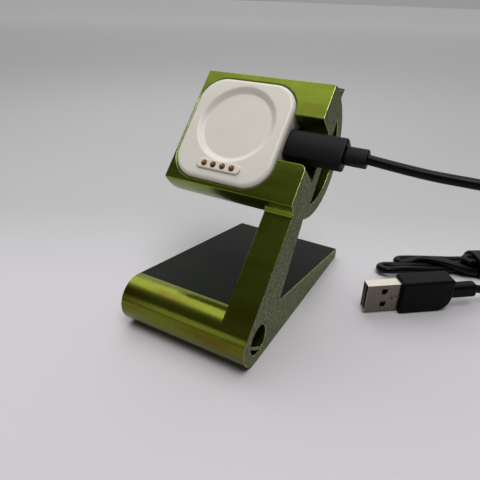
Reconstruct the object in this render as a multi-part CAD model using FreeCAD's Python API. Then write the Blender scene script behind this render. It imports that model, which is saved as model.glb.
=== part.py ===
import FreeCAD, Part
import math
import os
from FreeCAD import Placement, Rotation, Vector

# Smartwatch charging stand: a Z-shaped print that holds a round-cornered charging
# dock in its tilted head, with a short charging lead plugged into the dock's side.
# Millimetres, +Z up, +Y to the rear, +X to the side where the leg and the plug are.
# The origin lies under the middle of the stand, on the surface that it rests on.

# Stand: one side profile, drawn out along X
stand_width = 52.0
base_length = 91.0
roll_radius = 9.0
base_rear_thickness = 4.6
lean_angle = 46.5            # of the leg's front and the head's face, from the horizontal
leg_width = 10.7
leg_top_thickness = 11.2
leg_flare = 11.5             # degrees between the leg's front and its rear face
leg_length = 68.0            # from the roll's axis to the head's axis, along the lean
head_radius = 24.0
head_face_offset = 6.2       # the flat face stands this far in front of the head's axis
head_step = 4.5              # the head's face stands this far in front of the leg's
neck_fillet = 3.0

# Head: pocket, plug slot and the crescent hollow behind the pocket's floor
pocket_depth = 9.8
pocket_rim = 0.8             # thin wall left between the pocket and the free side
slot_height = 17.6
slot_rise = 0.8              # the slot's middle lies this far above the face's middle
slot_round = 2.4
head_wall = 5.0
floor_thickness = 3.0        # of the pocket's floor at its upper end
floor_wedge = 6.0            # degrees by which the floor thickens downwards

# Small loop at the rear of the head's top corner
ear_width = 1.2
ear_reach = 4.3
ear_wall = 1.1
ear_front_angle = 13.0
ear_rear_angle = -7.0

# Bore through the roll, crossed by a thin web
bore_radius = 5.4
bore_shift = 1.1             # to the rear of the roll's axis
web_thickness = 1.2
web_drop = 2.4               # the web's upper face lies this far below the bore's axis
web_angle = -36.0

# Black pad laid into the top of the base
pad_thickness = 0.8
pad_rim = 0.6
pad_start = 1.6              # behind the line where the base meets the roll
pad_clearance = 0.2

# Dock
dock_width = 39.4
dock_height = 41.4
dock_corner = 10.0
dock_clearance = 0.4
dock_drop = 0.45             # the dock's middle lies this far below the face's middle
dock_proud = 1.2
cover_wall = 1.4
cover_top = 1.6
cover_edge = 1.7
base_cover_thickness = 1.0
lip_height = 0.8
lip_thickness = 1.0
lip_clearance = 0.15
dish_radius = 15.3
dish_floor_radius = 13.3
dish_depth = 1.5
dish_rise = 2.4
dish_floor_thickness = 1.4
foot_thickness = 0.8
foot_recess = 0.2
foot_margin = 3.2

# Raised island with the sprung contacts
island_length = 18.0
island_width = 3.6
island_height = 0.8
island_drop = 15.1
island_edge = 0.35
pin_count = 4
pin_pitch = 3.78
pin_radius = 0.65
pin_travel = 0.9
pin_rest_proud = 0.1         # a fully pressed pin still stands this far out of the island
pin_collar_radius = 0.8
pin_collar_length = 1.6
pin_fit = 0.05
barrel_wall = 0.3
barrel_lip = 0.6
barrel_floor = 0.6
barrel_seat = 0.1            # the barrel ends this far below the island's top
spring_wire = 0.22
spring_turns = 4

# Board, socket, magnet and screws inside the dock
board_thickness = 1.0
board_gap = 0.6
board_post_radius = 1.2
socket_width = 7.6
socket_height = 2.8
socket_length = 5.2
socket_wall = 0.3
tongue_width = 3.6
tongue_thickness = 0.55
tongue_root = 1.0
magnet_radius = 10.0
magnet_bore_radius = 5.0
magnet_thickness = 1.9
boss_radius = 2.2
boss_inset = 5.6
screw_radius = 0.95
screw_head_radius = 1.8
screw_length = 5.0
screw_fit = 0.05
chip_size = 4.0
chip_height = 0.9

# Lead and its two plugs
cord_diameter = 3.4
plug_depth = 4.5             # the plug's axis lies this far behind the head's face
plug_length = 21.2
plug_width = 10.6
plug_thickness = 7.0
plug_crown = 0.7
plug_corner = 1.3
plug_gap = 0.3
tip_width = 6.8
tip_thickness = 1.8
tip_length = 4.6
tip_wall = 0.25
relief_length = 7.5
relief_width = 5.9
relief_thickness = 4.9
shell_width = 12.0
shell_thickness = 4.5
shell_wall = 0.3
shell_length = 14.0
shell_window = 2.4
shell_window_gap = 5.9
shell_window_back = 7.2
shell_tail = 4.0             # held inside the far plug's grip
shell_tab_place = 11.3       # a small stamped tab between the windows, slit on three sides
shell_tab_size = 1.8
shell_tab_slit = 0.3
insert_thickness = 1.9
contact_thickness = 0.2
contact_width = 1.1
contact_pitch = 2.3
grip_length = 21.5
grip_width = 14.4
grip_thickness = 8.4
grip_low_round = 6.0         # of the grip's rear corner that rests on the table
grip_high_round = 1.4
grip_edge = 1.0
boot_length = 11.5
boot_width = 5.8
boot_thickness = 5.2
far_plug_tip = (49.1, 11.0)   # where the far plug's open end lies on the table
far_plug_turn = 37.5         # degrees from +X
hank_height = 7.4
hank_edge = 2.4
hank_tip = (46.5, 42.5)      # the end of the hank nearest the stand
hank_turn = 33.0
hank_loop_radius = 5.0       # the end nearest the stand is a single narrow loop
hank_loop_place = (5.0, 0.4)  # its centre, along and beside the hank's middle line
hank_waist_width = 14.4
hank_end_radius = 12.0       # the other end, where the strands fan out
hank_end_place = (83.0, -2.0)
tie_place = 48.0             # along the hank, from its tip
tie_width = 7.0
tie_thickness = 1.7
tie_lift = 0.5               # the strap's ends stay this far above the table
near_port = (77.8, -7.7, 2.2)  # along and beside the hank's middle line, and up
far_port = (70.0, -12.3, 1.9)

# Route of the lead from the plug's relief to the hank, and from the hank to the far plug.
# The first point of each is set by the plug that it leaves, the last by the hank.
near_route = [
    (60.0, 3.9, 63.0),
    (74.0, 4.3, 62.9),
    (87.0, 6.6, 62.2),
    (97.0, 12.0, 56.6),
    (103.0, 20.5, 48.0),
    (105.3, 31.5, 37.5),
    (105.8, 43.5, 26.5),
    (106.4, 54.5, 16.5),
    (108.6, 64.0, 9.4),
    (112.0, 71.5, 5.8),
]
far_route = [
    (95.2, 45.6, 5.2),
    (101.6, 54.2, 3.2),
    (106.4, 63.2, 2.1),
]

# Places worked out from the sizes above
lean = math.radians(lean_angle)
roll_y = roll_radius - base_length / 2
rear_y = base_length / 2
side_x = stand_width / 2
leg_x = side_x - leg_width
lean_up = Vector(0, math.cos(lean), math.sin(lean))
lean_back = Vector(0, math.sin(lean), -math.cos(lean))
roll_axis = Vector(0, roll_y, roll_radius)
face_behind = -roll_radius - head_step
axis_behind = face_behind + head_face_offset
head_axis = roll_axis + lean_up * leg_length + lean_back * axis_behind
face_middle = head_axis - lean_back * head_face_offset
face_half = math.sqrt(head_radius ** 2 - head_face_offset ** 2)
face_frame = Placement(face_middle, Rotation(Vector(1, 0, 0), lean_angle))

dock_x = pocket_rim + dock_clearance + dock_width / 2 - side_x
dock_y = -dock_drop
dock_bottom = -pocket_depth
dock_top = dock_proud
cover_bottom = dock_bottom + foot_thickness - foot_recess + base_cover_thickness
plug_y = 0.0
plug_z = -plug_depth
board_top = plug_z - socket_height / 2
board_bottom = board_top - board_thickness
island_top = dock_top + island_height
island_y = dock_y - island_drop
dish_y = dock_y + dish_rise
pin_xs = [dock_x + (i - (pin_count - 1) / 2) * pin_pitch for i in range(pin_count)]
barrel_bore = pin_collar_radius + pin_fit
barrel_radius = barrel_bore + barrel_wall
barrel_top = island_top - barrel_seat
collar_top = barrel_top - barrel_lip - pin_fit
collar_bottom = collar_top - pin_collar_length
dock_side = dock_x + dock_width / 2
plug_start = dock_side + plug_gap
boss_xs = [dock_x + side * (dock_width / 2 - boss_inset) for side in (-1, 1)]
boss_ys = [dock_y + side * (dock_height / 2 - boss_inset) for side in (-1, 1)]
boss_spots = [(x, y) for x in boss_xs for y in boss_ys]


def lean_point(along, behind, x=0.0):
    """A point of the side profile, given along and behind the lean through the roll's axis."""
    return roll_axis + lean_up * along + lean_back * behind + Vector(x, 0, 0)


def at_x(point, x):
    return Vector(x, point.y, point.z)


def line(start, end):
    return Part.LineSegment(start, end).toShape()


def arc(start, middle, end):
    return Part.Arc(start, middle, end).toShape()


def prism(edges, reach):
    """The solid that a closed outline sweeps along the vector reach."""
    return Part.Face(Part.Wire(edges)).extrude(reach)


def polygon(points, reach):
    closed = points + [points[0]]
    return Part.Face(Part.makePolygon(closed)).extrude(reach)


def one_solid(shape):
    solids = shape.removeSplitter().Solids
    if len(solids) != 1:
        raise ValueError("expected one solid, got %d" % len(solids))
    return solids[0]


def slab(width, height, corner, low, high, x=0.0, y=0.0):
    """A round-cornered plate in the face's frame, from z = low to z = high."""
    box = Part.makeBox(width, height, high - low, Vector(x - width / 2, y - height / 2, low))
    if corner <= 0:
        return box
    uprights = [e for e in box.Edges if abs(e.tangentAt(e.FirstParameter).z) > 0.9]
    return box.makeFillet(corner, uprights)


def rod(radius, low, high, x=0.0, y=0.0):
    return Part.makeCylinder(radius, high - low, Vector(x, y, low))


def edges_at(shape, low, high, axis="z"):
    """Edges that lie wholly between two levels along an axis."""
    found = []
    for edge in shape.Edges:
        box = edge.BoundBox
        bottom = getattr(box, axis.upper() + "Min")
        top = getattr(box, axis.upper() + "Max")
        if bottom > low and top < high:
            found.append(edge)
    return found


def in_face(shape):
    """Moves a shape from the face's own frame into the stand's."""
    moved = shape.copy()
    moved.Placement = face_frame.multiply(moved.Placement)
    return moved


# Stand

def base_tangent():
    """Where the base's sloping top leaves the roll, and the slope's direction to the rear."""
    rear_top = Vector(0, rear_y, base_rear_thickness)
    to_axis = roll_axis - rear_top
    reach = to_axis.Length
    turn = math.atan2(to_axis.z, to_axis.y) - math.asin(roll_radius / reach)
    run = math.sqrt(reach ** 2 - roll_radius ** 2)
    uphill = Vector(0, math.cos(turn), math.sin(turn))
    return rear_top + uphill * run, uphill * -1


slope_start, slope_down = base_tangent()
slope_length = (Vector(0, rear_y, base_rear_thickness) - slope_start).Length
slope_angle = math.degrees(math.atan2(slope_down.z, slope_down.y))
slope_frame = Placement(slope_start, Rotation(Vector(1, 0, 0), slope_angle))


def base_wedge():
    x = -side_x
    under_roll = Vector(x, roll_y, 0)
    rear_low = Vector(x, rear_y, 0)
    rear_high = Vector(x, rear_y, base_rear_thickness)
    tangent = at_x(slope_start, x)
    front = Vector(x, roll_y - roll_radius, roll_radius)
    outline = [
        line(under_roll, rear_low),
        line(rear_low, rear_high),
        line(rear_high, tangent),
        arc(tangent, front, under_roll),
    ]
    return prism(outline, Vector(stand_width, 0, 0))


def leg_rear_behind(along):
    """How far behind the lean the leg's rear face lies; it flares towards the base."""
    joint = leg_length - head_radius
    return leg_top_thickness - roll_radius + (joint - along) * math.tan(math.radians(leg_flare))


def leg():
    foot = 0.0
    top = leg_length
    outline = [
        lean_point(foot, -roll_radius, leg_x),
        lean_point(top, -roll_radius, leg_x),
        lean_point(top, leg_rear_behind(top), leg_x),
        lean_point(foot, leg_rear_behind(foot), leg_x),
    ]
    blade = polygon(outline, Vector(leg_width, 0, 0))
    below = Part.makeBox(
        4 * stand_width, 4 * base_length, base_length,
        Vector(-2 * stand_width, -2 * base_length, -base_length))
    return blade.cut(below)


def leg_foot_on_slope():
    """How far down the slope the leg's rear face meets the base's top."""
    low = lean_point(0, leg_rear_behind(0))
    high = lean_point(leg_length, leg_rear_behind(leg_length))
    rise = high - low
    normal = Vector(0, -slope_down.z, slope_down.y)
    share = (slope_start - low).dot(normal) / rise.dot(normal)
    return (low + rise * share - slope_start).dot(slope_down)


def head_block():
    x = -side_x
    low = face_middle - lean_up * face_half
    high = face_middle + lean_up * face_half
    back = head_axis + lean_back * head_radius
    outline = [line(at_x(low, x), at_x(high, x)), arc(at_x(high, x), at_x(back, x), at_x(low, x))]
    return prism(outline, Vector(stand_width, 0, 0))


def neck():
    """Concave fillet between the leg's front and the head's underside."""
    behind = -roll_radius - neck_fillet
    rise = behind - axis_behind
    reach = head_radius + neck_fillet
    along = leg_length - math.sqrt(reach ** 2 - rise ** 2)
    centre = lean_point(along, behind, leg_x)
    axis = at_x(head_axis, leg_x)
    on_leg = centre + lean_back * neck_fillet
    on_head = centre + (axis - centre).normalize() * neck_fillet
    wedge = polygon([centre, on_leg, axis, on_head], Vector(leg_width, 0, 0))
    hollow = Part.makeCylinder(neck_fillet, leg_width, centre, Vector(1, 0, 0))
    return wedge.cut(hollow)


def crescent():
    """The D-shaped hollow between the pocket's floor and the head's round back."""
    x = -side_x
    inner = head_radius - head_wall
    tube = Part.makeCylinder(inner, stand_width, at_x(head_axis, x), Vector(1, 0, 0))
    upper_end = Vector(0, face_half, -pocket_depth - floor_thickness)
    keep = slab(3 * head_radius, 4 * head_radius, 0, 0, 4 * head_radius)
    keep.Placement = Placement(upper_end, Rotation(Vector(1, 0, 0), floor_wedge))
    front = keep.common(slab(3 * head_radius, 6 * head_radius, 0, -head_radius * 4, head_radius * 4))
    return tube.cut(in_face(front))


def pocket():
    return slab(
        dock_width + 2 * dock_clearance, dock_height + 2 * dock_clearance,
        dock_corner + dock_clearance, -pocket_depth, head_radius, dock_x, dock_y)


def plug_slot():
    """Slot from the pocket to the side face, with its lower lip rounded at the side."""
    low = slot_rise - slot_height / 2
    slot = Part.makeBox(
        side_x - dock_x + 1, slot_height, pocket_depth + head_radius,
        Vector(dock_x, low, -pocket_depth))
    corner = Part.makeBox(
        slot_round, slot_round, pocket_depth + head_radius,
        Vector(side_x - slot_round, low - slot_round, -pocket_depth))
    curve = rod(slot_round, -pocket_depth, head_radius, side_x - slot_round, low - slot_round)
    return slot.fuse(corner.cut(curve))


def ear():
    """Small triangular loop at the top rear corner of the head."""
    def polar(angle, radius):
        turn = math.radians(angle)
        return Vector(0, radius * math.cos(turn), radius * math.sin(turn) - head_face_offset)

    seat = head_radius - ear_wall / 2
    outline = [
        polar(ear_front_angle, seat),
        polar(ear_rear_angle, head_radius + ear_reach),
        polar(ear_rear_angle, seat),
    ]
    face = Part.Face(Part.makePolygon(outline + [outline[0]]))
    window = face.makeOffset2D(-ear_wall, 2)
    loop = face.cut(window).extrude(Vector(ear_width, 0, 0))
    loop.translate(Vector(side_x - ear_width, 0, 0))
    return loop


def roll_bore():
    """Bore along the roll, in two parts that leave the web between them."""
    reach = 2 * bore_radius
    centre = Vector(-side_x, roll_y + bore_shift, roll_radius)
    tube = Part.makeCylinder(bore_radius, stand_width, centre, Vector(1, 0, 0))
    web = Part.makeBox(
        stand_width, 2 * reach, web_thickness, Vector(0, -reach, -web_drop - web_thickness))
    web.Placement = Placement(centre, Rotation(Vector(1, 0, 0), web_angle))
    return tube.cut(web)


def pad_outline(gap, low, high):
    """The pad's outline on the slope, grown by gap: a sheet with a notch round the leg."""
    half = side_x - pad_rim
    start = pad_start - gap
    sheet = Part.makeBox(
        2 * (half + gap), slope_length - pad_rim - start + gap, high - low,
        Vector(-half - gap, start, low))
    notch_x = leg_x - pad_clearance - gap
    notch_end = leg_foot_on_slope() + pad_clearance + pad_rim - gap
    notch = Part.makeBox(stand_width, notch_end + roll_radius, 4 * (high - low + 1),
                         Vector(notch_x, -roll_radius, -2 * (high - low + 1)))
    shape = sheet.cut(notch)
    shape.Placement = slope_frame
    return shape


def stand_body():
    wedge = base_wedge().cut(pad_outline(pad_clearance, -pad_thickness, roll_radius))
    body = wedge.fuse([leg(), head_block(), neck(), in_face(ear())])
    body = body.cut([crescent(), in_face(pocket()), in_face(plug_slot()), roll_bore()])
    return one_solid(body)


def base_pad():
    return one_solid(pad_outline(0.0, -pad_thickness, 0.0))


# Dock, in the face's frame: x across, y up the face, z out of it

def dock_slab(shrink, low, high):
    return slab(dock_width - 2 * shrink, dock_height - 2 * shrink, dock_corner - shrink,
                low, high, dock_x, dock_y)


def island(low, high, shrink=0.0):
    width = island_width - 2 * shrink
    return slab(island_length - 2 * shrink, width, width / 2 - 0.001, low, high, dock_x, island_y)


def dock_cover():
    shell = dock_slab(0, cover_bottom, dock_top)
    rim = edges_at(shell, dock_top - 0.01, dock_top + 0.01)
    shell = shell.makeFillet(cover_edge, rim)
    raised = island(dock_top - cover_top, island_top)
    raised = raised.makeFillet(island_edge, edges_at(raised, island_top - 0.01, island_top + 0.01))
    shell = shell.cut(dock_slab(cover_wall, cover_bottom - 1, dock_top - cover_top)).fuse(raised)
    dish_floor = dock_top - dish_depth
    under_dish = rod(dish_radius, dish_floor - dish_floor_thickness, dock_top - cover_top,
                     dock_x, dish_y)
    bosses = [rod(boss_radius, cover_bottom, dock_top - cover_top, x, y) for x, y in boss_spots]
    shell = shell.fuse([under_dish] + bosses)
    cone = Part.makeCone(
        dish_floor_radius, dish_radius, dish_depth, Vector(dock_x, dish_y, dish_floor))
    pilots = [rod(screw_radius + screw_fit, cover_bottom - 1, cover_bottom + screw_length, x, y)
              for x, y in boss_spots]
    holes = [rod(barrel_radius + pin_fit, board_top, island_top + 1, x, island_y) for x in pin_xs]
    mouth_room = 0.2
    mouth = Part.makeBox(
        cover_wall * 3, socket_width + 2 * mouth_room, socket_height + 2 * mouth_room,
        Vector(dock_side - cover_wall * 2, plug_y - socket_width / 2 - mouth_room,
               plug_z - socket_height / 2 - mouth_room))
    return one_solid(shell.cut([cone, mouth] + pilots + holes))


def dock_base_cover():
    low = cover_bottom - base_cover_thickness
    plate = dock_slab(0, low, cover_bottom)
    outer = cover_wall + lip_clearance
    lip = dock_slab(outer, cover_bottom, cover_bottom + lip_height)
    lip = lip.cut(dock_slab(outer + lip_thickness, cover_bottom - 1, cover_bottom + lip_height + 1))
    posts = [rod(board_post_radius, cover_bottom, board_bottom, dock_x + side * dock_width / 4, dock_y)
             for side in (-1, 1)]
    body = plate.fuse([lip] + posts)
    seats = []
    for x, y in boss_spots:
        seats.append(rod(boss_radius + lip_clearance, cover_bottom, cover_bottom + lip_height + 1, x, y))
        seats.append(rod(screw_radius + screw_fit, low - 1, cover_bottom + 1, x, y))
        seats.append(screw_head(x, y, screw_fit))
    seats.append(foot_slab(0.1, low - 1, low + foot_recess))
    return one_solid(body.cut(seats))


def foot_slab(grow, low, high):
    shrink = foot_margin - grow
    ring = dock_slab(shrink, low, high)
    clear = [rod(screw_head_radius + 1 - grow, low - 1, high + 1, x, y) for x, y in boss_spots]
    return ring.cut(clear)


def dock_foot():
    return one_solid(foot_slab(0, dock_bottom, dock_bottom + foot_thickness))


def screw_head(x, y, grow=0.0):
    low = cover_bottom - base_cover_thickness
    depth = screw_head_radius - screw_radius
    return Part.makeCone(screw_head_radius + grow, screw_radius + grow, depth, Vector(x, y, low))


def cover_screws():
    low = cover_bottom - base_cover_thickness
    screws = []
    for x, y in boss_spots:
        shank = rod(screw_radius, low, low + screw_length, x, y)
        cross = Part.makeBox(2 * screw_radius, 0.4, 0.5, Vector(x - screw_radius, y - 0.2, low))
        other = Part.makeBox(0.4, 2 * screw_radius, 0.5, Vector(x - 0.2, y - screw_radius, low))
        screws.append(one_solid(shank.fuse(screw_head(x, y)).cut([cross, other])))
    return Part.makeCompound(screws)


def circuit_board():
    inner = cover_wall + board_gap
    board = dock_slab(inner, board_bottom, board_top)
    notches = [rod(boss_radius + board_gap / 2, board_bottom - 1, board_top + 1, x, y)
               for x, y in boss_spots]
    return one_solid(board.cut(notches))


def charge_chip():
    return Part.makeBox(
        chip_size, chip_size, chip_height,
        Vector(dock_x - chip_size / 2, dock_y - island_drop / 2 - chip_size / 2, board_top))


def socket_block(width, height, start, end):
    return Part.makeBox(end - start, width, height, Vector(start, plug_y - width / 2, plug_z - height / 2))


def socket_shell():
    end = dock_side - cover_wall
    outer = socket_block(socket_width, socket_height, end - socket_length, end)
    inner = socket_block(socket_width - 2 * socket_wall, socket_height - 2 * socket_wall,
                         end - socket_length + socket_wall, end + 1)
    return one_solid(outer.cut(inner))


def socket_tongue():
    end = dock_side - cover_wall
    root_start = end - socket_length + socket_wall
    root = socket_block(socket_width - 2 * socket_wall, socket_height - 2 * socket_wall,
                        root_start, root_start + tongue_root)
    blade = socket_block(tongue_width, tongue_thickness, root_start, end - socket_wall)
    return one_solid(root.fuse(blade))


def dock_magnet():
    top = dock_top - dish_depth - dish_floor_thickness
    ring = rod(magnet_radius, top - magnet_thickness, top, dock_x, dish_y)
    return one_solid(ring.cut(rod(magnet_bore_radius, top - magnet_thickness - 1, top + 1, dock_x, dish_y)))


def pin_barrels():
    barrels = []
    for x in pin_xs:
        tube = rod(barrel_radius, board_top, barrel_top, x, island_y)
        bore = rod(barrel_bore, board_top + barrel_floor, barrel_top - barrel_lip, x, island_y)
        mouth = rod(pin_radius + pin_fit, board_top + barrel_floor, barrel_top + 1, x, island_y)
        barrels.append(one_solid(tube.cut([bore, mouth])))
    return Part.makeCompound(barrels)


def contact_pin(x):
    """Sprung contact: a collar that stays in the barrel, and a tip with a rounded end."""
    collar = rod(pin_collar_radius, collar_bottom, collar_top, x, island_y)
    dome_low = island_top + pin_travel + pin_rest_proud - pin_radius
    tip = rod(pin_radius, collar_bottom, dome_low, x, island_y)
    dome = Part.makeSphere(pin_radius, Vector(x, island_y, dome_low))
    return one_solid(collar.fuse([tip, dome]))


def contact_spring(x):
    radius = pin_collar_radius - spring_wire
    low = board_top + barrel_floor + spring_wire / 2
    height = collar_bottom - spring_wire / 2 - low
    helix = Part.makeHelix(height / spring_turns, height, radius)
    half = spring_wire / 2
    corners = [Vector(radius + a * half, 0, b * half) for a, b in ((-1, -1), (1, -1), (1, 1), (-1, 1))]
    section = Part.makePolygon(corners + [corners[0]])
    coil = Part.Wire(helix.Edges).makePipeShell([section], True, True)
    coil.translate(Vector(x, island_y, low))
    return coil


# Lead and plugs

def crowned_block(start, end, width, thickness, crown, corner):
    """A plug's grip along +X, with bowed broad faces and rounded long edges."""
    half, deep = width / 2, thickness / 2
    side = deep - crown
    outline = [
        line(Vector(start, -half, side), Vector(start, -half, -side)),
        arc(Vector(start, -half, -side), Vector(start, 0, -deep), Vector(start, half, -side)),
        line(Vector(start, half, -side), Vector(start, half, side)),
        arc(Vector(start, half, side), Vector(start, 0, deep), Vector(start, -half, side)),
    ]
    block = prism(outline, Vector(end - start, 0, 0))
    if corner <= 0:
        return block
    lengthwise = [e for e in block.Edges if e.Length > (end - start) * 0.99
                  and abs(e.tangentAt(e.FirstParameter).x) > 0.9]
    return block.makeFillet(corner, lengthwise)


def moved_to_plug(shape):
    return in_face(shape.translated(Vector(0, plug_y, plug_z)))


def plug_grip():
    block = crowned_block(plug_start, plug_start + plug_length, plug_width, plug_thickness,
                          plug_crown, plug_corner)
    return moved_to_plug(one_solid(block))


def plug_relief():
    start = plug_start + plug_length
    block = crowned_block(start, start + relief_length, relief_width, relief_thickness, 0.5, 1.2)
    return moved_to_plug(one_solid(block))


def plug_tip():
    outer = Part.makeBox(tip_length, tip_width, tip_thickness,
                         Vector(plug_start - tip_length, -tip_width / 2, -tip_thickness / 2))
    inner = Part.makeBox(tip_length, tip_width - 2 * tip_wall, tip_thickness - 2 * tip_wall,
                         Vector(plug_start - tip_length - tip_wall, tip_wall - tip_width / 2,
                                tip_wall - tip_thickness / 2))
    return moved_to_plug(one_solid(outer.cut(inner)))


far_frame = Placement(
    Vector(far_plug_tip[0], far_plug_tip[1], grip_width / 2), Rotation(Vector(0, 0, 1), far_plug_turn))


def far_box(start, end, width, thickness, height=0.0):
    """A block of the far plug: its length along the plug, its width upright."""
    return Part.makeBox(end - start, thickness, width, Vector(start, -thickness / 2, height - width / 2))


def in_far(shape):
    moved = shape.copy()
    moved.Placement = far_frame.multiply(moved.Placement)
    return moved


def far_shell():
    end = shell_length + shell_tail
    outer = far_box(0, end, shell_width, shell_thickness)
    inner = far_box(-1, end + 1, shell_width - 2 * shell_wall, shell_thickness - 2 * shell_wall)
    cuts = [inner]
    for side in (-1, 1):
        cuts.append(far_box(shell_window_back - shell_window / 2, shell_window_back + shell_window / 2,
                            shell_window, 2 * shell_thickness, side * shell_window_gap / 2))
    half, slit = shell_tab_size / 2, shell_tab_slit
    for start, end, height, level in (
            (shell_tab_place - half, shell_tab_place - half + slit, 2 * half, 0),
            (shell_tab_place + half - slit, shell_tab_place + half, 2 * half, 0),
            (shell_tab_place - half, shell_tab_place + half, slit, slit / 2 - half)):
        cut = far_box(start, end, height, 2 * shell_wall, level)
        cut.translate(Vector(0, -shell_thickness / 2, 0))
        cuts.append(cut)
    return in_far(one_solid(outer.cut(cuts)))


def insert_offset():
    return shell_thickness / 2 - shell_wall - insert_thickness / 2


def far_insert():
    block = far_box(shell_wall, shell_length + shell_tail, shell_width - 2 * shell_wall, insert_thickness)
    block.translate(Vector(0, insert_offset(), 0))
    return in_far(block)


def far_contacts():
    strips = []
    face = insert_offset() - insert_thickness / 2
    for i in range(4):
        height = (i - 1.5) * contact_pitch
        strip = far_box(1.2, shell_length, contact_width, contact_thickness, height)
        strip.translate(Vector(0, face - contact_thickness / 2, 0))
        strips.append(in_far(strip))
    return Part.makeCompound(strips)


def far_grip():
    start, end = shell_length, shell_length + grip_length
    block = far_box(start, end, grip_width, grip_thickness)
    for level, radius in ((-grip_width / 2, grip_low_round), (grip_width / 2, grip_high_round)):
        corner = [e for e in edges_at(block, end - 0.01, end + 0.01, "x")
                  if abs(e.CenterOfMass.z - level) < 0.01]
        block = block.makeFillet(radius, corner)
    rims = [e for e in block.Edges if abs(e.CenterOfMass.y) > grip_thickness / 2 - 0.01
            and e.BoundBox.XMin > start + 0.01]
    block = block.makeFillet(grip_edge, rims)
    return in_far(one_solid(block.cut(far_box(0, shell_length + shell_tail, shell_width, shell_thickness))))


def far_boot():
    start = shell_length + grip_length
    block = far_box(start, start + boot_length, boot_width, boot_thickness)
    edges = [e for e in block.Edges if abs(e.tangentAt(e.FirstParameter).x) > 0.9]
    return in_far(block.makeFillet(1.6, edges))


hank_frame = Placement(Vector(hank_tip[0], hank_tip[1], 0), Rotation(Vector(0, 0, 1), hank_turn))


def tangent_point(centre, radius, point, side):
    """Where a line from a point touches a circle, above (side 1) or below (side -1) it."""
    to_point = point - centre
    turn = math.acos(radius / to_point.Length)
    heading = math.atan2(to_point.y, to_point.x)
    spot = heading + turn * side * (1 if to_point.x > 0 else -1)
    return centre + Vector(math.cos(spot), math.sin(spot), 0) * radius


def hank_shape(grow):
    """A narrow loop at one end, a waist under the tie and a wide fan of turns at the other end."""
    small, large = hank_loop_radius + grow, hank_end_radius + grow
    left = Vector(hank_loop_place[0], hank_loop_place[1], 0)
    right = Vector(hank_end_place[0], hank_end_place[1], 0)
    sides = {}
    for side in (1, -1):
        waist = Vector(tie_place, side * (hank_waist_width / 2 + grow), 0)
        start = tangent_point(left, small, waist, side)
        end = tangent_point(right, large, waist, side)
        curve = Part.BSplineCurve()
        curve.interpolate(Points=[start, waist, end], InitialTangent=waist - start,
                          FinalTangent=end - waist)
        sides[side] = (start, end, curve.toShape())
    upper, lower = sides[1], sides[-1]
    outline = [
        upper[2],
        arc(upper[1], right + Vector(large, 0, 0), lower[1]),
        lower[2],
        arc(lower[0], left - Vector(small, 0, 0), upper[0]),
    ]
    block = prism(outline, Vector(0, 0, hank_height + 2 * grow))
    block.translate(Vector(0, 0, -grow))
    rims = [e for e in block.Edges if abs(e.tangentAt(e.FirstParameter).z) < 0.1]
    return block.makeChamfer(hank_edge + grow / 2, rims)


def lead_hank():
    block = hank_shape(0)
    block.Placement = hank_frame
    return one_solid(block)


def lead_tie():
    """Strap over the hank, open below where the hank lies on the table."""
    skin = hank_shape(tie_thickness)
    band = Part.makeBox(tie_width, 2 * hank_waist_width, 2 * hank_height,
                        Vector(tie_place - tie_width / 2, -hank_waist_width, tie_lift))
    strap = skin.common(band)
    strap.Placement = hank_frame
    return one_solid(strap.cut(lead_hank()))


def tube_along(points, label):
    """Straight runs joined by tangent arcs, each as large as its two runs allow."""
    edges = []
    here = points[0]
    radii = []
    for before, corner, after in zip(points, points[1:], points[2:]):
        arrive = corner - before
        leave = after - corner
        shorter = min(arrive.Length, leave.Length)
        turn = arrive.getAngle(leave)
        radius = 0.45 * shorter / math.tan(turn / 2)
        radii.append(round(radius, 1))
        cut = 0.45 * shorter
        start = corner - arrive.normalize() * cut
        end = corner + leave.normalize() * cut
        inward = (start + end) * 0.5 - corner
        depth = radius / math.cos(turn / 2) - radius
        middle = corner + inward.normalize() * depth
        edges.append(line(here, start))
        edges.append(arc(start, middle, end))
        here = end
    edges.append(line(here, points[-1]))
    path = Part.Wire(edges)
    heading = points[1] - points[0]
    ring = Part.Wire(Part.makeCircle(cord_diameter / 2, points[0], heading))
    tube = path.makePipeShell([ring], True, False)
    section = math.pi * cord_diameter ** 2 / 4
    print(label, "radii", radii, "length", round(path.Length, 1),
          "volume ratio", round(tube.Volume / (section * path.Length), 4))
    return tube


def near_points():
    start = face_frame.multVec(Vector(plug_start + plug_length + relief_length, plug_y, plug_z))
    return [start] + [Vector(*p) for p in near_route] + [hank_frame.multVec(Vector(*near_port))]


def far_points():
    start = far_frame.multVec(Vector(shell_length + grip_length + boot_length, 0, 0))
    return [start] + [Vector(*p) for p in far_route] + [hank_frame.multVec(Vector(*far_port))]


def lead_near_run():
    return one_solid(tube_along(near_points(), "near run").cut([lead_hank(), plug_relief()]))


def lead_far_run():
    return one_solid(tube_along(far_points(), "far run").cut([lead_hank(), far_boot()]))


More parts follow.
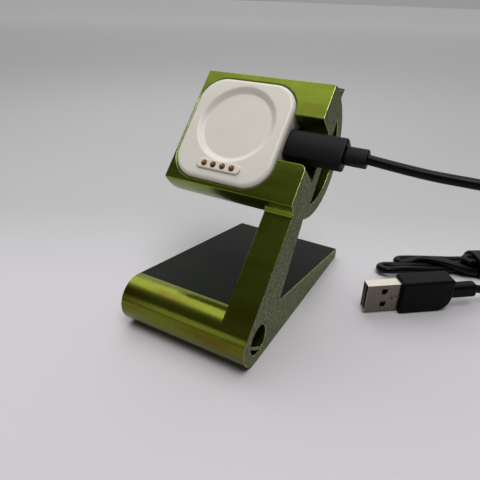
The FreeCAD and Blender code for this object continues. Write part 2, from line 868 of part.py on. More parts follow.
def all_parts():
    parts = {
        "stand_body": stand_body(),
        "base_pad": base_pad(),
        "dock_cover": in_face(dock_cover()),
        "dock_base_cover": in_face(dock_base_cover()),
        "dock_foot": in_face(dock_foot()),
        "cover_screws": in_face(cover_screws()),
        "circuit_board": in_face(circuit_board()),
        "charge_chip": in_face(charge_chip()),
        "socket_shell": in_face(socket_shell()),
        "socket_tongue": in_face(socket_tongue()),
        "dock_magnet": in_face(dock_magnet()),
        "pin_barrels": in_face(pin_barrels()),
        "plug_tip": plug_tip(),
        "plug_grip": plug_grip(),
        "plug_relief": plug_relief(),
        "lead_near_run": lead_near_run(),
        "lead_hank": lead_hank(),
        "lead_tie": lead_tie(),
        "lead_far_run": lead_far_run(),
        "far_boot": far_boot(),
        "far_grip": far_grip(),
        "far_shell": far_shell(),
        "far_insert": far_insert(),
        "far_contacts": far_contacts(),
    }
    for number, x in enumerate(pin_xs, start=1):
        parts["contact_pin_%d" % number] = in_face(contact_pin(x))
        parts["contact_spring_%d" % number] = in_face(contact_spring(x))
    return parts


os.makedirs("parts", exist_ok=True)
for name, shape in all_parts().items():
    if not shape.isValid():
        raise ValueError(name + " is not a valid solid")
    shape.exportStep(os.path.join("parts", name + ".step"))
    box = shape.BoundBox
    print("%-18s solids %d  x %.1f..%.1f  y %.1f..%.1f  z %.1f..%.1f  volume %.1f" % (
        name, len(shape.Solids), box.XMin, box.XMax, box.YMin, box.YMax, box.ZMin, box.ZMax,
        shape.Volume))
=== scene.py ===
import math

import bmesh
import bpy
from mathutils import Matrix, Vector


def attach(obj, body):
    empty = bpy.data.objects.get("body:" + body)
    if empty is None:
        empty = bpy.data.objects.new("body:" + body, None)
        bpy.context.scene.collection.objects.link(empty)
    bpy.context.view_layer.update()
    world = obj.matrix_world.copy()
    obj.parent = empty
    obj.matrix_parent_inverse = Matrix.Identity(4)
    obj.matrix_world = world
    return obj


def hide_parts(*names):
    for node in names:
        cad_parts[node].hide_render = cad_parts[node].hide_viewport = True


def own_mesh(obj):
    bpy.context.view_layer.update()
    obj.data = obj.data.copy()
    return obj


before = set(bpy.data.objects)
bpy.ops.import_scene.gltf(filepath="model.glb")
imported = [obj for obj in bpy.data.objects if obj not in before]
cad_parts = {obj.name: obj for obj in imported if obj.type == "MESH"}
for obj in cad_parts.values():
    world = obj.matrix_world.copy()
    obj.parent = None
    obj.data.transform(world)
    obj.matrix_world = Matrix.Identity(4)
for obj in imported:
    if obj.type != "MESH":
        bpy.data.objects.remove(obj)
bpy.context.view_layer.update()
print("frame loaded")

mm = 0.001


def paint(code):  # sRGB hex to the linear colour that a shader takes
    linear = []
    for i in (1, 3, 5):
        c = int(code[i:i + 2], 16) / 255
        linear.append(c / 12.92 if c <= 0.04045 else ((c + 0.055) / 1.055) ** 2.4)
    return (*linear, 1)


def addNode(tree, kind, sockets=None, **settings):
    node = tree.nodes.new(kind)
    for name, value in settings.items():
        setattr(node, name, value)
    for socket, value in (sockets or {}).items():
        if isinstance(value, bpy.types.NodeSocket):
            tree.links.new(value, node.inputs[socket])
        else:
            node.inputs[socket].default_value = value
    return node


def startMaterial(name, **values):  # values are the shader's own sockets
    material = bpy.data.materials.new(name)
    material.use_nodes = True
    tree = material.node_tree
    shader = tree.nodes["Principled BSDF"]
    for socket, value in values.items():
        shader.inputs[socket.replace("_", " ")].default_value = value
    place = addNode(tree, "ShaderNodeTexCoord")
    return material, tree, shader, place


def spread(tree, place, x, y, z):  # one grain of a pattern is x by y by z millimetres
    scale = (1 / (x * mm), 1 / (y * mm), 1 / (z * mm))
    return addNode(tree, "ShaderNodeMapping", {"Vector": place, "Scale": scale}).outputs["Vector"]


def grained(name, code, darker, grain, depth, roughness, **values):
    # a moulded or cast surface: the tool's fine grain, of that width and depth in millimetres,
    # and a faint unevenness of tone
    material, tree, shader, place = startMaterial(name, **values)
    fine = addNode(tree, "ShaderNodeTexNoise", {
        "Vector": spread(tree, place.outputs["Object"], grain, grain, grain), "Scale": 1, "Detail": 3})
    broad = addNode(tree, "ShaderNodeTexNoise", {
        "Vector": spread(tree, place.outputs["Object"], 9, 9, 9), "Scale": 1, "Detail": 2})
    tone = addNode(tree, "ShaderNodeMix", {
        "Factor": broad.outputs["Fac"], 6: paint(code), 7: paint(darker)}, data_type="RGBA")
    tree.links.new(tone.outputs[2], shader.inputs["Base Color"])
    gloss = addNode(tree, "ShaderNodeMapRange", {
        "Value": fine.outputs["Fac"], "From Min": 0.3, "From Max": 0.7,
        "To Min": roughness - 0.05, "To Max": roughness + 0.07})
    tree.links.new(gloss.outputs["Result"], shader.inputs["Roughness"])
    bump = addNode(tree, "ShaderNodeBump", {
        "Height": fine.outputs["Fac"], "Distance": depth * mm, "Strength": 1})
    tree.links.new(bump.outputs["Normal"], shader.inputs["Normal"])
    return material


def platedMetal(name, code, worn, roughness, line):
    # stamped and plated: mirror tone broken by drawing lines, that many millimetres long, and haze
    material, tree, shader, place = startMaterial(name, Metallic=1)
    drawn = addNode(tree, "ShaderNodeTexNoise", {
        "Vector": spread(tree, place.outputs["Object"], line, line, 0.25), "Scale": 1, "Detail": 3})
    haze = addNode(tree, "ShaderNodeTexNoise", {
        "Vector": spread(tree, place.outputs["Object"], 3, 3, 3), "Scale": 1, "Detail": 4})
    tone = addNode(tree, "ShaderNodeMix", {
        "Factor": haze.outputs["Fac"], 6: paint(code), 7: paint(worn)}, data_type="RGBA")
    tree.links.new(tone.outputs[2], shader.inputs["Base Color"])
    gloss = addNode(tree, "ShaderNodeMapRange", {
        "Value": haze.outputs["Fac"], "From Min": 0.35, "From Max": 0.7,
        "To Min": roughness, "To Max": roughness + 0.14})
    tree.links.new(gloss.outputs["Result"], shader.inputs["Roughness"])
    bump = addNode(tree, "ShaderNodeBump", {
        "Height": drawn.outputs["Fac"], "Distance": 0.006 * mm, "Strength": 1})
    tree.links.new(bump.outputs["Normal"], shader.inputs["Normal"])
    return material


# The stand's own lines, as the part has them in millimetres: its lean, its sizes along the lean,
# and where the far plug and the hank lie and how far they are turned
lines = {
    "lean": math.radians(46.5), "rollRadius": 9, "baseLength": 91, "legLength": 68, "headStep": 4.5,
    "farTip": (49.1, 11.0, 7.2), "farTurn": math.radians(37.5),
    "hankTip": (46.5, 42.5, 0), "hankTurn": math.radians(33),
}
leanUp = Vector((0, math.cos(lines["lean"]), math.sin(lines["lean"])))
leanBack = Vector((0, math.sin(lines["lean"]), -math.cos(lines["lean"])))
rollAxis = Vector((0, lines["rollRadius"] - lines["baseLength"] / 2, lines["rollRadius"]))
faceMiddle = rollAxis + leanUp * lines["legLength"] - leanBack * (lines["rollRadius"] + lines["headStep"])
onFace = Matrix.Translation(faceMiddle) @ Matrix.Rotation(lines["lean"], 4, "X")
onFarPlug = Matrix.Translation(lines["farTip"]) @ Matrix.Rotation(lines["farTurn"], 4, "Z")
onHank = Matrix.Translation(lines["hankTip"]) @ Matrix.Rotation(lines["hankTurn"], 4, "Z")


def mergedNode(node, place=Matrix.Identity(4)):
    # the frame's solid as one closed mesh in its own place's millimetres, with whole flat faces
    bm = bmesh.new()
    bm.from_mesh(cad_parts[node].data)
    bmesh.ops.remove_doubles(bm, verts=bm.verts, dist=1e-7)
    bmesh.ops.transform(bm, matrix=place.inverted() @ Matrix.Scale(1 / mm, 4), verts=bm.verts)
    bmesh.ops.dissolve_limit(bm, angle_limit=math.radians(0.4), verts=bm.verts, edges=bm.edges)
    return bm


def creases(bm, chosen, angle=30):
    found = []
    for edge in bm.edges:
        if len(edge.link_faces) == 2 and edge.calc_face_angle() > math.radians(angle):
            ends = [v.co for v in edge.verts]
            if all(chosen(p) for p in ends):
                found.append(edge)
    return found


def roundOff(bm, edges, width, segments=3):
    bmesh.ops.bevel(bm, geom=edges, offset=width, offset_type="OFFSET", segments=segments,
                    profile=0.5, affect="EDGES", clamp_overlap=False, material=-1)


def finishPiece(bm, name, material, place=Matrix.Identity(4), replaced=(), body="stand",
                smooth=32):
    bmesh.ops.transform(bm, matrix=Matrix.Scale(mm, 4) @ place, verts=bm.verts)
    mesh = bpy.data.meshes.new(name)
    bm.to_mesh(mesh)
    bm.free()
    mesh.shade_smooth()
    mesh.set_sharp_from_angle(angle=math.radians(smooth))
    piece = bpy.data.objects.new(name, mesh)
    bpy.context.scene.collection.objects.link(piece)
    weighted = piece.modifiers.new("even shading", "WEIGHTED_NORMAL")
    weighted.keep_sharp = True
    mesh.materials.append(material)
    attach(piece, body)
    if replaced:
        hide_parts(*replaced)
    return piece


def dressNode(node, material):
    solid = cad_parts[node]
    solid.data.materials.clear()
    solid.data.materials.append(material)


# Silk-finish PLA, printed lying on its side: the layers run round the profile, so its faces
# shine in fine streaks across the width, while the two side faces are matt and speckled
def silkPrint():
    green = {
        "streakLight": "#7c8e30", "streakDark": "#697a22", "sideLight": "#969e69", "sideDark": "#383e22",
        # rim is the colour of a painted highlight on the side outlines
        "amber": "#5f5012", "rim": "#ccd2a4",
        "layer": (0.45, 30, 30), "streak": (1.6, 22, 22), "speckle": 0.6, "warmBand": (30, 5, 5),
        "mostWarmth": 0.45, "lowWarmth": 0.42, "lowFrom": 12, "lowTo": 34,
        "silkRoughness": 0.21, "sideRoughness": 0.5, "relief": 0.035,
    }
    material, tree, shader, place = startMaterial("silk olive PLA print", Metallic=0.9)
    facing = addNode(tree, "ShaderNodeSeparateXYZ", {0: place.outputs["Normal"]})
    across = addNode(tree, "ShaderNodeMath", {0: facing.outputs["X"]}, operation="ABSOLUTE")
    side = addNode(tree, "ShaderNodeMapRange", {
        "Value": across.outputs[0], "From Min": 0.93, "From Max": 0.98})
    rimIn = addNode(tree, "ShaderNodeMapRange", {
        "Value": across.outputs[0], "From Min": 0.1, "From Max": 0.4})
    rim = addNode(tree, "ShaderNodeMath", {
        0: rimIn.outputs["Result"], 1: side.outputs["Result"]}, operation="SUBTRACT")
    # real layers are 0.2 mm, drawn coarser so that they show
    layers = addNode(tree, "ShaderNodeTexNoise", {
        "Vector": spread(tree, place.outputs["Object"], *green["layer"]), "Scale": 1, "Detail": 2})
    streaks = addNode(tree, "ShaderNodeTexNoise", {
        "Vector": spread(tree, place.outputs["Object"], *green["streak"]), "Scale": 1, "Detail": 4})
    speckle = addNode(tree, "ShaderNodeTexNoise", {
        "Vector": spread(tree, place.outputs["Object"], green["speckle"], green["speckle"],
                         green["speckle"]), "Scale": 1, "Detail": 4, "Roughness": 0.7})
    shine = addNode(tree, "ShaderNodeMix", {
        "Factor": streaks.outputs["Fac"], 6: paint(green["streakDark"]),
        7: paint(green["streakLight"])}, data_type="RGBA")
    # the filament turns amber where it ran hotter, in long soft bands, and the stand is drawn browner
    # towards its bottom
    warm = addNode(tree, "ShaderNodeTexNoise", {
        "Vector": spread(tree, place.outputs["Object"], *green["warmBand"]), "Scale": 1, "Detail": 2})
    warmth = addNode(tree, "ShaderNodeMapRange", {
        "Value": warm.outputs["Fac"], "From Min": 0.44, "From Max": 0.68,
        "To Max": green["mostWarmth"]})
    above = addNode(tree, "ShaderNodeSeparateXYZ", {0: place.outputs["Object"]})
    low = addNode(tree, "ShaderNodeMapRange", {
        "Value": above.outputs["Z"], "From Min": green["lowFrom"] * mm,
        "From Max": green["lowTo"] * mm, "To Min": green["lowWarmth"], "To Max": 0})
    warmth = addNode(tree, "ShaderNodeMath", {
        0: warmth.outputs["Result"], 1: low.outputs["Result"]}, operation="ADD", use_clamp=True)
    shine = addNode(tree, "ShaderNodeMix", {
        "Factor": warmth.outputs[0], 6: shine.outputs[2], 7: paint(green["amber"])},
        data_type="RGBA")
    dots = addNode(tree, "ShaderNodeMapRange", {
        "Value": speckle.outputs["Fac"], "From Min": 0.42, "From Max": 0.66})
    matt = addNode(tree, "ShaderNodeMix", {
        "Factor": dots.outputs["Result"], 6: paint(green["sideDark"]), 7: paint(green["sideLight"])},
        data_type="RGBA")
    faces = addNode(tree, "ShaderNodeMix", {
        "Factor": side.outputs["Result"], 6: shine.outputs[2], 7: matt.outputs[2]}, data_type="RGBA")
    # painted highlight: the outline of each side is painted pale, with gaps, where the outer wall's line
    # was laid, as that line catching the light
    brokenHighlight = addNode(tree, "ShaderNodeMath", {
        0: rim.outputs[0], 1: dots.outputs["Result"]}, operation="MULTIPLY", use_clamp=True)
    whole = addNode(tree, "ShaderNodeMix", {
        "Factor": brokenHighlight.outputs[0], 6: faces.outputs[2], 7: paint(green["rim"])}, data_type="RGBA")
    tree.links.new(whole.outputs[2], shader.inputs["Base Color"])
    gloss = addNode(tree, "ShaderNodeMapRange", {
        "Value": side.outputs["Result"], "To Min": green["silkRoughness"],
        "To Max": green["sideRoughness"]})
    tree.links.new(gloss.outputs["Result"], shader.inputs["Roughness"])
    bands = addNode(tree, "ShaderNodeMath", {
        0: layers.outputs["Fac"], 1: 0.25, 2: streaks.outputs["Fac"]}, operation="MULTIPLY_ADD")
    relief = addNode(tree, "ShaderNodeMix", {
        "Factor": side.outputs["Result"], 2: bands.outputs[0], 3: speckle.outputs["Fac"]},
        data_type="FLOAT")
    bump = addNode(tree, "ShaderNodeBump", {
        "Height": relief.outputs[0], "Distance": green["relief"] * mm, "Strength": 1})
    tree.links.new(bump.outputs["Normal"], shader.inputs["Normal"])
    return material


# every edge of the two sides and of the leg's inner side is rounded, and all that lie above the base
stand = {"edge": 0.3, "sideAt": 25.99, "legSideAt": 15.3, "within": 0.02, "aboveBase": 19.0}
printGreen = silkPrint()
bm = mergedNode("stand_body")
outlines = creases(bm, lambda p: (abs(p.x) > stand["sideAt"]
                                  or abs(p.x - stand["legSideAt"]) < stand["within"]))
upper = creases(bm, lambda p: p.z > stand["aboveBase"])
roundOff(bm, list(set(outlines + upper)), stand["edge"])
finishPiece(bm, "printed_stand", printGreen, replaced=["stand_body"])
print("stand printed")

# Closed-cell rubber sheet: near black, matt, with a soft sheen at a low angle and some dust
pad = {"edge": 0.22}
padRubber = grained("closed-cell rubber sheet", "#10130d", "#1a1e17", 0.5, 0.03, 0.52,
                    Specular_IOR_Level=0.06)
bm = mergedNode("base_pad")
roundOff(bm, creases(bm, lambda p: True, 35), pad["edge"], 2)
finishPiece(bm, "pad_sheet", padRubber, replaced=["base_pad"])

# Moulded ABS, satin: warm white with a very fine spark-eroded grain
dock = {
    "middle": (-5.1, -0.45), "dishRise": 2.4, "dishRim": 15.3, "dishFloor": 13.3, "top": 1.2,
    "dishDepth": 1.5, "dishRound": 0.42, "within": 0.05,
}
dockWhite = grained("satin white ABS", "#dad5ca", "#d2ccc0", 0.35, 0.006, 0.36, IOR=1.53)
bm = mergedNode("dock_cover", onFace)
dishX, dishY = dock["middle"][0], dock["middle"][1] + dock["dishRise"]


def onCircle(p, radius, level):
    off = abs(math.hypot(p.x - dishX, p.y - dishY) - radius)
    return off < dock["within"] and abs(p.z - level) < dock["within"]


rims = creases(bm, lambda p: onCircle(p, dock["dishRim"], dock["top"]), 15)
rims += creases(bm, lambda p: onCircle(p, dock["dishFloor"], dock["top"] - dock["dishDepth"]), 15)
roundOff(bm, rims, dock["dishRound"], 5)
finishPiece(bm, "dock_shell", dockWhite, onFace, ["dock_cover"], smooth=26)
dressNode("dock_base_cover", dockWhite)
print("dock dressed")

# Gold over nickel: warm and bright, darker where it mirrors something dark. Nickel: pale and cool,
# a little hazy. Drawn wire: a grey gleam along each turn
# painted shade: this gold is drawn darker than the barrels' for the dark that the tips and the far
# contacts mirror
shadedGold = platedMetal("gold-plated brass", "#9a7c4c", "#5a4428", 0.24, 0.3)
barrelGold = platedMetal("gold-plated barrel", "#c9a45a", "#8c6a30", 0.24, 0.3)
springSteel = platedMetal("drawn spring steel", "#a9abb0", "#84868b", 0.25, 0.1)
nickel = platedMetal("nickel plate", "#c4c0b8", "#a6a198", 0.22, 0.4)
for node in ("contact_pin_1", "contact_pin_2", "contact_pin_3", "contact_pin_4"):
    finishPiece(mergedNode(node), "tip_" + node[-1], shadedGold, replaced=[node], body=node,
                smooth=40)
finishPiece(mergedNode("pin_barrels"), "pin_tubes", barrelGold, replaced=["pin_barrels"],
            smooth=40)

# What the covers hide: dull grey silicone, green solder mask with a wet gloss, matt black resins
rubberGrey = grained("silicone foot", "#4a4a48", "#3c3c3a", 0.4, 0.02, 0.6)
laminate = grained("solder mask on laminate", "#1f5a34", "#194a2b", 0.8, 0.01, 0.3)
chipResin = grained("moulded chip resin", "#1b1b1d", "#242427", 0.25, 0.01, 0.55)
blackResin = grained("moulded liquid-crystal polymer", "#161616", "#1f1f20", 0.3, 0.01, 0.45)
dressNode("dock_foot", rubberGrey)
dressNode("circuit_board", laminate)
dressNode("charge_chip", chipResin)
dressNode("socket_tongue", blackResin)
dressNode("socket_shell", nickel)
dressNode("dock_magnet", nickel)
dressNode("cover_screws", nickel)
dressNode("plug_tip", nickel)

# Round wire wound in four turns
spring = {"radius": 0.58, "wire": 0.11, "turns": 4, "low": -5.3, "high": -0.35, "stepsPerTurn": 16,
          "pitch": 3.78, "row": -15.55, "travel": 0.9}
for number in range(1, 5):
    x = dock["middle"][0] + (number - 2.5) * spring["pitch"]
    bm = bmesh.new()
    steps = spring["turns"] * spring["stepsPerTurn"]
    rise = spring["high"] - spring["low"] - 2 * spring["wire"]
    start = Matrix.Translation((spring["radius"], 0, spring["low"] + spring["wire"]))
    end = bmesh.ops.create_circle(bm, segments=8, radius=spring["wire"],
                                  matrix=start @ Matrix.Rotation(math.pi / 2, 4, "X"))
    bmesh.ops.spin(bm, geom=bm.verts[:] + bm.edges[:], cent=(0, 0, 0), axis=(0, 0, 1),
                   dvec=(0, 0, rise / steps), angle=2 * math.pi * spring["turns"], steps=steps,
                   use_merge=False, use_duplicate=False)
    bmesh.ops.holes_fill(bm, edges=bm.edges[:])
    bmesh.ops.recalc_face_normals(bm, faces=bm.faces)
    place = onFace @ Matrix.Translation((x, spring["row"], 0))
    coil = finishPiece(bm, "coil_%d" % number, springSteel, place, ["contact_spring_%d" % number],
                       smooth=60)
    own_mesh(coil)
print("dock's inside dressed")

# Overmoulded PVC: black, satin on the flats, with a fine grain and softer edges
plug = {"edge": 0.8, "reliefEdge": 0.5}
plugBlack = grained("overmoulded black PVC", "#0c0908", "#120f0e", 0.45, 0.012, 0.42,
                    Specular_IOR_Level=0.14)


def plugEnds(node, name, width):
    piece = mergedNode(node, onFace)
    xs = [v.co.x for v in piece.verts]
    low, high = min(xs) + 0.01, max(xs) - 0.01
    roundOff(piece, creases(piece, lambda p: p.x < low or p.x > high, 35), width)
    finishPiece(piece, name, plugBlack, onFace, [node])


plugEnds("plug_grip", "plug_moulding", plug["edge"])
plugEnds("plug_relief", "plug_neck", plug["reliefEdge"])
print("plug moulded")

# The far plug, from its tip at 0: stamped and plated shell, black insert, gilt contacts, black grip
farPlug = {"shellEdge": 0.12, "gripEdge": 0.5, "gripStart": 14, "bootEdge": 0.9, "bootEnd": 47,
           "broadFaceShade": "#746e64"}
shellSteel = platedMetal("stamped nickel-plated steel", "#e6dfcf", "#d3cbb9", 0.2, 0.5)
# painted shade: its broad faces are painted a dull grey by their facing, and the narrow ones stay bright
tree = shellSteel.node_tree
place = addNode(tree, "ShaderNodeTexCoord")
broad = addNode(tree, "ShaderNodeVectorMath", {
    0: place.outputs["Normal"], 1: onFarPlug.to_3x3() @ Vector((0, 1, 0))}, operation="DOT_PRODUCT")
broadFaceShade = addNode(tree, "ShaderNodeMath", {0: broad.outputs["Value"]}, operation="ABSOLUTE")
plated = tree.nodes["Principled BSDF"].inputs["Base Color"].links[0].from_socket
tone = addNode(tree, "ShaderNodeMix", {
    "Factor": broadFaceShade.outputs[0], 6: plated, 7: paint(farPlug["broadFaceShade"])}, data_type="RGBA")
tree.links.new(tone.outputs[2], tree.nodes["Principled BSDF"].inputs["Base Color"])
bm = mergedNode("far_shell", onFarPlug)
roundOff(bm, creases(bm, lambda p: True, 50), farPlug["shellEdge"], 2)
finishPiece(bm, "shell_of_far_plug", shellSteel, onFarPlug, ["far_shell"])
# the same PVC drawn darker, painted shade that keeps its front deep black, and with nearly no gloss
farBlack = grained("deep black PVC", "#040404", "#070606", 0.45, 0.012, 0.42, Specular_IOR_Level=0.09)
bm = mergedNode("far_grip", onFarPlug)
roundOff(bm, creases(bm, lambda p: p.x < farPlug["gripStart"] + 0.1, 50), farPlug["gripEdge"], 3)
finishPiece(bm, "grip_of_far_plug", farBlack, onFarPlug, ["far_grip"])
bm = mergedNode("far_boot", onFarPlug)
roundOff(bm, creases(bm, lambda p: p.x > farPlug["bootEnd"] - 0.1, 50), farPlug["bootEdge"], 4)
finishPiece(bm, "boot_of_far_plug", farBlack, onFarPlug, ["far_boot"])
dressNode("far_insert", blackResin)
dressNode("far_contacts", shadedGold)
print("far plug made")

# The lead, in millimetres but for its length in metres: from the end of the dock plug's neck, out
# and down to the table, through the hank and back to the far plug's boot
lead = {
    "diameter": 3.4, "length": 0.70, "start": (43.6, 0, -4.5),
    "near": [
        (60.0, 3.9, 63.0), (74.0, 4.3, 62.9), (87.0, 6.6, 62.2), (97.0, 12.0, 56.6),
        (103.0, 20.5, 48.0), (105.3, 31.5, 37.5), (105.8, 43.5, 26.5), (106.4, 54.5, 16.5),
        (108.6, 64.0, 9.4), (112.0, 71.5, 5.8)],
    "far": [(106.4, 63.2, 2.1), (101.6, 54.2, 3.2), (95.2, 45.6, 5.2)],
    "low": 2.65, "high": 6.25,  # levels of the strands under the tie
}
# the hank's strands, along and beside its middle line and up from the table
strands = [
    (77.8, -7.7, 2.2), (86.0, -8.2, 1.9), (90.4, -7.6, 1.85), (91.8, -4.8, 1.85),
    (90.4, -2.2, 1.85), (86.0, -1.6, 1.9), (68, -1.8, 2.0), (48, -1.8, lead["low"]),
    (26, -2.1, 2.0), (16, -2.2, 2.4), (10.5, -2.9, 3.0), (6.0, -3.7, 3.3), (2.4, -3.1, 3.2),
    (1.0, -0.5, 2.6), (2.4, 2.1, 2.0), (6.0, 2.7, 1.85), (10.5, 2.0, 1.85), (16, 1.4, 1.9),
    (26, 1.6, 2.0), (48, 1.8, lead["low"]), (66, 1.6, 2.0), (80, 1.3, 1.85), (87.0, 1.5, 1.85),
    (91.0, 2.4, 1.85), (92.0, 5.0, 1.85), (91.0, 7.6, 1.85), (87.0, 8.3, 1.85), (80, 7.8, 1.85),
    (66, 6.4, 2.0), (48, 5.4, lead["low"]), (38, 6.2, 2.0), (28, 7.4, 1.9), (20, 8.0, 1.85),
    (15.5, 8.2, 1.85), (12.6, 7.8, 1.85), (11.8, 6.4, 1.85), (12.8, 5.1, 1.9), (15.5, 4.7, 2.1),
    (19, 4.5, 3.0), (23.5, 3.2, 4.7), (28.5, 0.5, 5.0), (34, -2.6, 5.1), (38.5, -4.9, 4.0),
    (43, -5.5, 2.6), (48, -5.4, lead["low"]), (58, -5.2, 3.4), (66, -4.8, 5.3),
    (76, -5.8, 5.6), (85.5, -6.2, 5.6), (89.6, -5.6, 5.6), (90.8, -3.0, 5.6),
    (89.6, -0.5, 5.6), (85.5, 0.2, 5.6), (72, -0.3, 5.6), (60, -1.2, 5.8),
    (48, -1.8, lead["high"]), (43.6, -2.1, 5.9), (41.4, -1.9, 5.8), (40.6, 0, 5.7),
    (41.4, 1.9, 5.8), (43.6, 2.1, 5.9), (48, 1.8, lead["high"]), (60, 2.2, 5.8),
    (72, 3.6, 5.6), (84.5, 3.8, 5.4), (91.2, 0.2, 4.4), (91.2, -8.4, 2.8),
    (84.5, -12.2, 1.95), (70, -12.3, 1.9),
]


# Extruded soft PVC: satin black, smoother than the mouldings, with patches dulled by handling
def jacket():
    material, tree, shader, place = startMaterial("soft black PVC jacket", Specular_IOR_Level=0.13)
    grain, patch = 0.7, 6
    fine = addNode(tree, "ShaderNodeTexNoise", {
        "Vector": spread(tree, place.outputs["Object"], grain, grain, grain), "Scale": 1, "Detail": 3})
    handled = addNode(tree, "ShaderNodeTexNoise", {
        "Vector": spread(tree, place.outputs["Object"], patch, patch, patch), "Scale": 1, "Detail": 2})
    tone = addNode(tree, "ShaderNodeMix", {
        "Factor": handled.outputs["Fac"], 6: paint("#060505"), 7: paint("#0b0a0a")}, data_type="RGBA")
    tree.links.new(tone.outputs[2], shader.inputs["Base Color"])
    gloss = addNode(tree, "ShaderNodeMapRange", {
        "Value": handled.outputs["Fac"], "From Min": 0.3, "From Max": 0.7, "To Min": 0.26, "To Max": 0.38})
    tree.links.new(gloss.outputs["Result"], shader.inputs["Roughness"])
    bump = addNode(tree, "ShaderNodeBump", {
        "Height": fine.outputs["Fac"], "Distance": 0.02 * mm, "Strength": 1})
    tree.links.new(bump.outputs["Normal"], shader.inputs["Normal"])
    return material


leadStart = onFace @ Vector(lead["start"])
leadEnd = onFarPlug @ Vector((farPlug["bootEnd"], 0, 0))
route = [leadStart] + [Vector(p) for p in lead["near"]]
route += [onHank @ Vector(p) for p in strands]
route += [Vector(p) for p in lead["far"]] + [leadEnd]
curve = bpy.data.curves.new("lead", "CURVE")
curve.dimensions = "3D"
curve.bevel_depth = lead["diameter"] / 2 * mm
curve.bevel_resolution = 6
curve.resolution_u = 10
curve.use_fill_caps = True
spline = curve.splines.new("NURBS")
spline.points.add(len(route) - 1)
for point, at in zip(spline.points, route):
    point.co = (*(at * mm), 1)
spline.order_u = 3
spline.use_endpoint_u = True
leadPiece = bpy.data.objects.new("lead", curve)
bpy.context.scene.collection.objects.link(leadPiece)
curve.materials.append(jacket())
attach(leadPiece, "stand")
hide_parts("lead_near_run", "lead_hank", "lead_far_run")

# The tie: a flat strap of satin black rubber, drawn round all the strands at the hank's waist
tie = {"place": 48, "width": 7, "thickness": 0.85, "corner": 1.6,
       "inside": [(-7.2, 0.93), (-7.3, 4.6), (-3.9, 8.0), (3.9, 8.0), (7.3, 4.6), (7.2, 0.93)]}
bm = bmesh.new()
ring = [bm.verts.new((tie["place"] - tie["width"] / 2, y, z)) for y, z in tie["inside"]]
band = [bm.edges.new((a, b)) for a, b in zip(ring, ring[1:] + ring[:1])]
made = bmesh.ops.extrude_edge_only(bm, edges=band)
moved = [v for v in made["geom"] if isinstance(v, bmesh.types.BMVert)]
bmesh.ops.translate(bm, verts=moved, vec=(tie["width"], 0, 0))
bmesh.ops.recalc_face_normals(bm, faces=bm.faces)
turns = [e for e in bm.edges if len(e.link_faces) == 2]
roundOff(bm, turns, tie["corner"], 6)
bmesh.ops.solidify(bm, geom=bm.faces[:], thickness=-tie["thickness"])
bmesh.ops.recalc_face_normals(bm, faces=bm.faces)
strapRubber = grained("satin black strap rubber", "#090909", "#101010", 0.5, 0.015, 0.42,
                      Specular_IOR_Level=0.15)
finishPiece(bm, "tie_strap", strapRubber, onHank, ["lead_tie"])

print("lead laid")


# The floor: a large sheet of matt paper, in metres, with painted light in its tone: paler near the object
# as a painted pool of light, darker a little way off as painted shade, and paler again far off as painted
# light where the lamps reach little
sheet = {
    "size": 8, "near": "#c4c1c4", "far": "#b1b1b1", "farBy": 0.08, "distant": "#eeeeee",
    "distantFrom": 0.2, "distantBy": 1.6, "tooth": 1.5, "away": (-0.484, 0.875, 0),
}


def plainFloor():
    material, tree, shader, place = startMaterial("matt paper floor", Roughness=0.75)
    along = addNode(tree, "ShaderNodeVectorMath", {
        0: place.outputs["Object"], 1: sheet["away"]}, operation="DOT_PRODUCT")
    far = addNode(tree, "ShaderNodeMapRange", {
        "Value": along.outputs["Value"], "From Min": 0, "From Max": sheet["farBy"]})
    paper = addNode(tree, "ShaderNodeTexNoise", {
        "Vector": spread(tree, place.outputs["Object"], sheet["tooth"], sheet["tooth"],
                         sheet["tooth"]), "Scale": 1, "Detail": 3})
    # painted shade: the paper darkens a little way off from the object
    tone = addNode(tree, "ShaderNodeMix", {
        "Factor": far.outputs["Result"], 6: paint(sheet["near"]), 7: paint(sheet["far"])},
        data_type="RGBA")
    # painted light: the paper pales again far off, where the lamps reach little
    distant = addNode(tree, "ShaderNodeMapRange", {
        "Value": along.outputs["Value"], "From Min": sheet["distantFrom"],
        "From Max": sheet["distantBy"]})
    tone = addNode(tree, "ShaderNodeMix", {
        "Factor": distant.outputs["Result"], 6: tone.outputs[2], 7: paint(sheet["distant"])},
        data_type="RGBA")
    tree.links.new(tone.outputs[2], shader.inputs["Base Color"])
    bump = addNode(tree, "ShaderNodeBump", {
        "Height": paper.outputs["Fac"], "Distance": 0.01 * mm, "Strength": 1})
    tree.links.new(bump.outputs["Normal"], shader.inputs["Normal"])
    return material


bpy.ops.mesh.primitive_plane_add(size=sheet["size"])
floor = bpy.context.object
floor.name = "floor"
floor.data.materials.append(plainFloor())

# Soft boxes, each facing a point inside the stand: where it stands from there, and how far off in
# metres, how wide and how strong it is
lightsFace = (0.02, 0, 0.04)
lights = {
    "overhead": {"toward": (-0.42, 0.26, 0.87), "far": 0.42, "size": 0.42, "power": 0.6},
    "right": {"toward": (0.22, -0.22, 0.95), "far": 0.9, "size": 0.5, "power": 5.2},
    "front": {"toward": (-0.42, -0.84, 0.20), "far": 0.9, "size": 0.32, "power": 0.26},
}
for name, about in lights.items():
    lamp = bpy.data.lights.new(name, "AREA")
    lamp.size = about["size"]
    lamp.energy = about["power"]
    holder = bpy.data.objects.new(name, lamp)
    bpy.context.scene.collection.objects.link(holder)
    toward = Vector(about["toward"]).normalized()
    holder.location = toward * about["far"] + Vector(lightsFace)
    holder.rotation_euler = toward.to_track_quat("Z", "Y").to_euler()

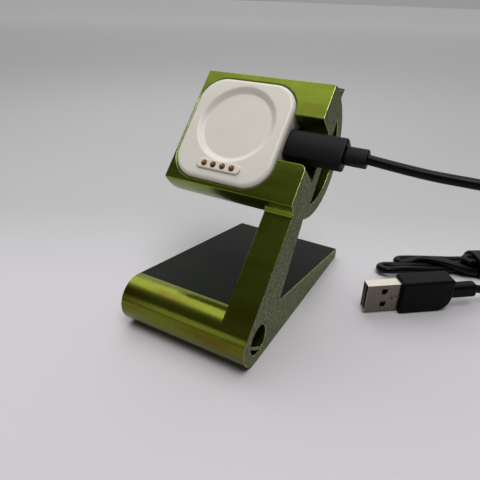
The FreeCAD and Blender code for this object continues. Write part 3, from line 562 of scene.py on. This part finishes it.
# a room that is pale behind and above the object, and dim in front of it
room = {"pale": 1.15, "dim": 0.03, "wall": 0.35, "toward": (-0.25, 0.6, 0.76),
        "dimUpTo": 0.46, "paleFrom": 0.95, "tone": "#f2f2f4"}
world = bpy.data.worlds.new("soft room")
bpy.context.scene.world = world
world.use_nodes = True
air = world.node_tree
look = addNode(air, "ShaderNodeTexCoord")
facing = addNode(air, "ShaderNodeVectorMath", {
    0: look.outputs["Generated"], 1: room["toward"]}, operation="DOT_PRODUCT")
level = addNode(air, "ShaderNodeMapRange", {
    "Value": facing.outputs["Value"], "From Min": room["dimUpTo"], "From Max": room["paleFrom"],
    "To Min": room["dim"], "To Max": room["pale"]}, interpolation_type="SMOOTHSTEP")
# the camera itself sees a plain pale wall beyond the floor
path = addNode(air, "ShaderNodeLightPath")
seen = addNode(air, "ShaderNodeMix", {
    "Factor": path.outputs["Is Camera Ray"], 2: level.outputs["Result"], 3: room["wall"]},
    data_type="FLOAT")
air.nodes["Background"].inputs["Color"].default_value = paint(room["tone"])
air.links.new(seen.outputs[0], air.nodes["Background"].inputs["Strength"])

# the photograph's own view: to the right of the front, above it and turned a little; its place is
# in millimetres, and its focal length in pixels of a picture that many wide
view = {"azimuth": math.radians(28.97), "elevation": math.radians(29.13), "roll": math.radians(1.34),
        "location": (76.97, -142.03, 113.35), "focal": 455.09, "pixels": 480, "sensor": 36}
away = Vector((math.sin(view["azimuth"]) * math.cos(view["elevation"]),
               -math.cos(view["azimuth"]) * math.cos(view["elevation"]), math.sin(view["elevation"])))
right = Vector((math.cos(view["azimuth"]), math.sin(view["azimuth"]), 0))
upward = away.cross(right)
tilted = right * math.cos(view["roll"]) + upward * math.sin(view["roll"])
upright = upward * math.cos(view["roll"]) - right * math.sin(view["roll"])
cameraData = bpy.data.cameras.new("camera")
cameraData.sensor_width = view["sensor"]
cameraData.lens = view["sensor"] * view["focal"] / view["pixels"]
camera = bpy.data.objects.new("camera", cameraData)
bpy.context.scene.collection.objects.link(camera)
turned = Matrix((tilted, upright, away)).transposed().to_4x4()
camera.matrix_world = Matrix.Translation(Vector(view["location"]) * mm) @ turned
cameraData.clip_start = 0.005
bpy.context.scene.camera = camera
bpy.context.scene.view_settings.view_transform = "Standard"

print("camera and lights set")
